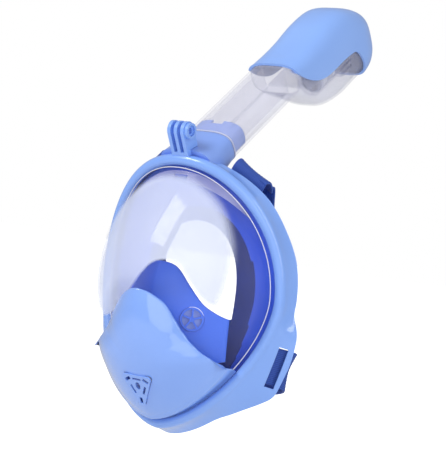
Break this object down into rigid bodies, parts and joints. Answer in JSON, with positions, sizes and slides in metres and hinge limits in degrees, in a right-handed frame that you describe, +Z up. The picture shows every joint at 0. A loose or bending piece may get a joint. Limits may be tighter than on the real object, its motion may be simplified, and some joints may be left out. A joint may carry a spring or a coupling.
{
  "type": "snorkel mask",
  "caption": "Full-face snorkel mask: clear domed lens in a blue frame, silicone skirt, chin cover with vent, camera fins and a slanted clear dry-top snorkel.",
  "frame": {"origin": "centre of the face opening, on the plane where the skirt seals against the face", "axes": "+Z up as worn, -Y forward out of the lens, +X towards the wearer's left"},
  "size_m": [0.191, 0.3, 0.3731],
  "materials": {
    "frame_plastic": "satin light blue moulded plastic",
    "cover_plastic": "glossy light blue moulded plastic",
    "socket_plastic": "slightly see-through light blue plastic",
    "clear_lens": "polished clear polycarbonate with a blue tint",
    "clear_tube": "frosted clear plastic",
    "tinted_clear": "lilac tinted clear plastic",
    "gasket": "dark blue soft seal",
    "silicone_blue": "translucent deep blue silicone",
    "flap_silicone": "thin blue silicone",
    "white_rubber": "white soft seal",
    "white_plastic": "white moulded plastic",
    "steel": "stainless screws",
    "strap_fabric": "deep blue elastic webbing"
  },
  "bodies": {
    "mask": {"frame": "frame_plastic", "lens": "clear_lens", "lens_gasket": "gasket", "chin_cover": "cover_plastic", "vent_grille": "cover_plastic", "retaining_ring": "frame_plastic", "frame_screws": "steel", "skirt": "silicone_blue", "nose_pocket": "silicone_blue", "brow_band": "tinted_clear", "inhale_seat_left": "silicone_blue", "inhale_seat_right": "silicone_blue", "chin_valve_seat": "white_plastic", "snorkel_socket": "socket_plastic", "socket_seal": "white_rubber", "camera_mount": "frame_plastic", "strap_upper_left": "strap_fabric", "strap_upper_right": "strap_fabric", "strap_lower_left": "strap_fabric", "strap_lower_right": "strap_fabric", "strap_pad": "strap_fabric"},
    "snorkel": {"snorkel_tube": "clear_tube", "dry_top_housing": "clear_tube", "dry_top_cap": "frame_plastic", "valve_plate": "clear_tube", "float_guide": "clear_tube"},
    "float": {"float_cup": "white_plastic", "float_seal": "flap_silicone"},
    "exhaust_flap_left": {"exhaust_flap_left": "flap_silicone"},
    "exhaust_flap_right": {"exhaust_flap_right": "flap_silicone"},
    "inhale_flap_left": {"inhale_flap_left": "flap_silicone"},
    "inhale_flap_right": {"inhale_flap_right": "flap_silicone"},
    "chin_valve_flap": {"chin_valve_flap": "flap_silicone"}
  },
  "joints": [
    {"name": "snorkel_pull_off", "type": "slide", "parent": "mask", "child": "snorkel", "axis": [0, 0.809, 0.5878], "range_m": [0, 0.045]},
    {"name": "float_rise", "type": "slide", "parent": "snorkel", "child": "float", "axis": [0, 0.809, 0.5878], "range_m": [0, 0.0075]},
    {"name": "exhaust_flap_left_lift", "type": "hinge", "parent": "snorkel", "child": "exhaust_flap_left", "pos_m": [-0.014, 0.16355, 0.22918], "axis": [-1, 0, 0], "range_deg": [0, 35], "stiffness_Nm_per_rad": 0.0004},
    {"name": "exhaust_flap_right_lift", "type": "hinge", "parent": "snorkel", "child": "exhaust_flap_right", "pos_m": [0.014, 0.16355, 0.22918], "axis": [-1, 0, 0], "range_deg": [0, 35], "stiffness_Nm_per_rad": 0.0004},
    {"name": "inhale_flap_left_open", "type": "slide", "parent": "mask", "child": "inhale_flap_left", "axis": [0.6157, 0.788, 0], "range_m": [0, 0.0015], "stiffness_N_per_m": 20},
    {"name": "inhale_flap_right_open", "type": "slide", "parent": "mask", "child": "inhale_flap_right", "axis": [-0.6157, 0.788, 0], "range_m": [0, 0.0015], "stiffness_N_per_m": 20},
    {"name": "chin_valve_open", "type": "slide", "parent": "mask", "child": "chin_valve_flap", "axis": [0, -0.848, -0.5299], "range_m": [0, 0.0008], "stiffness_N_per_m": 30}
  ]
}
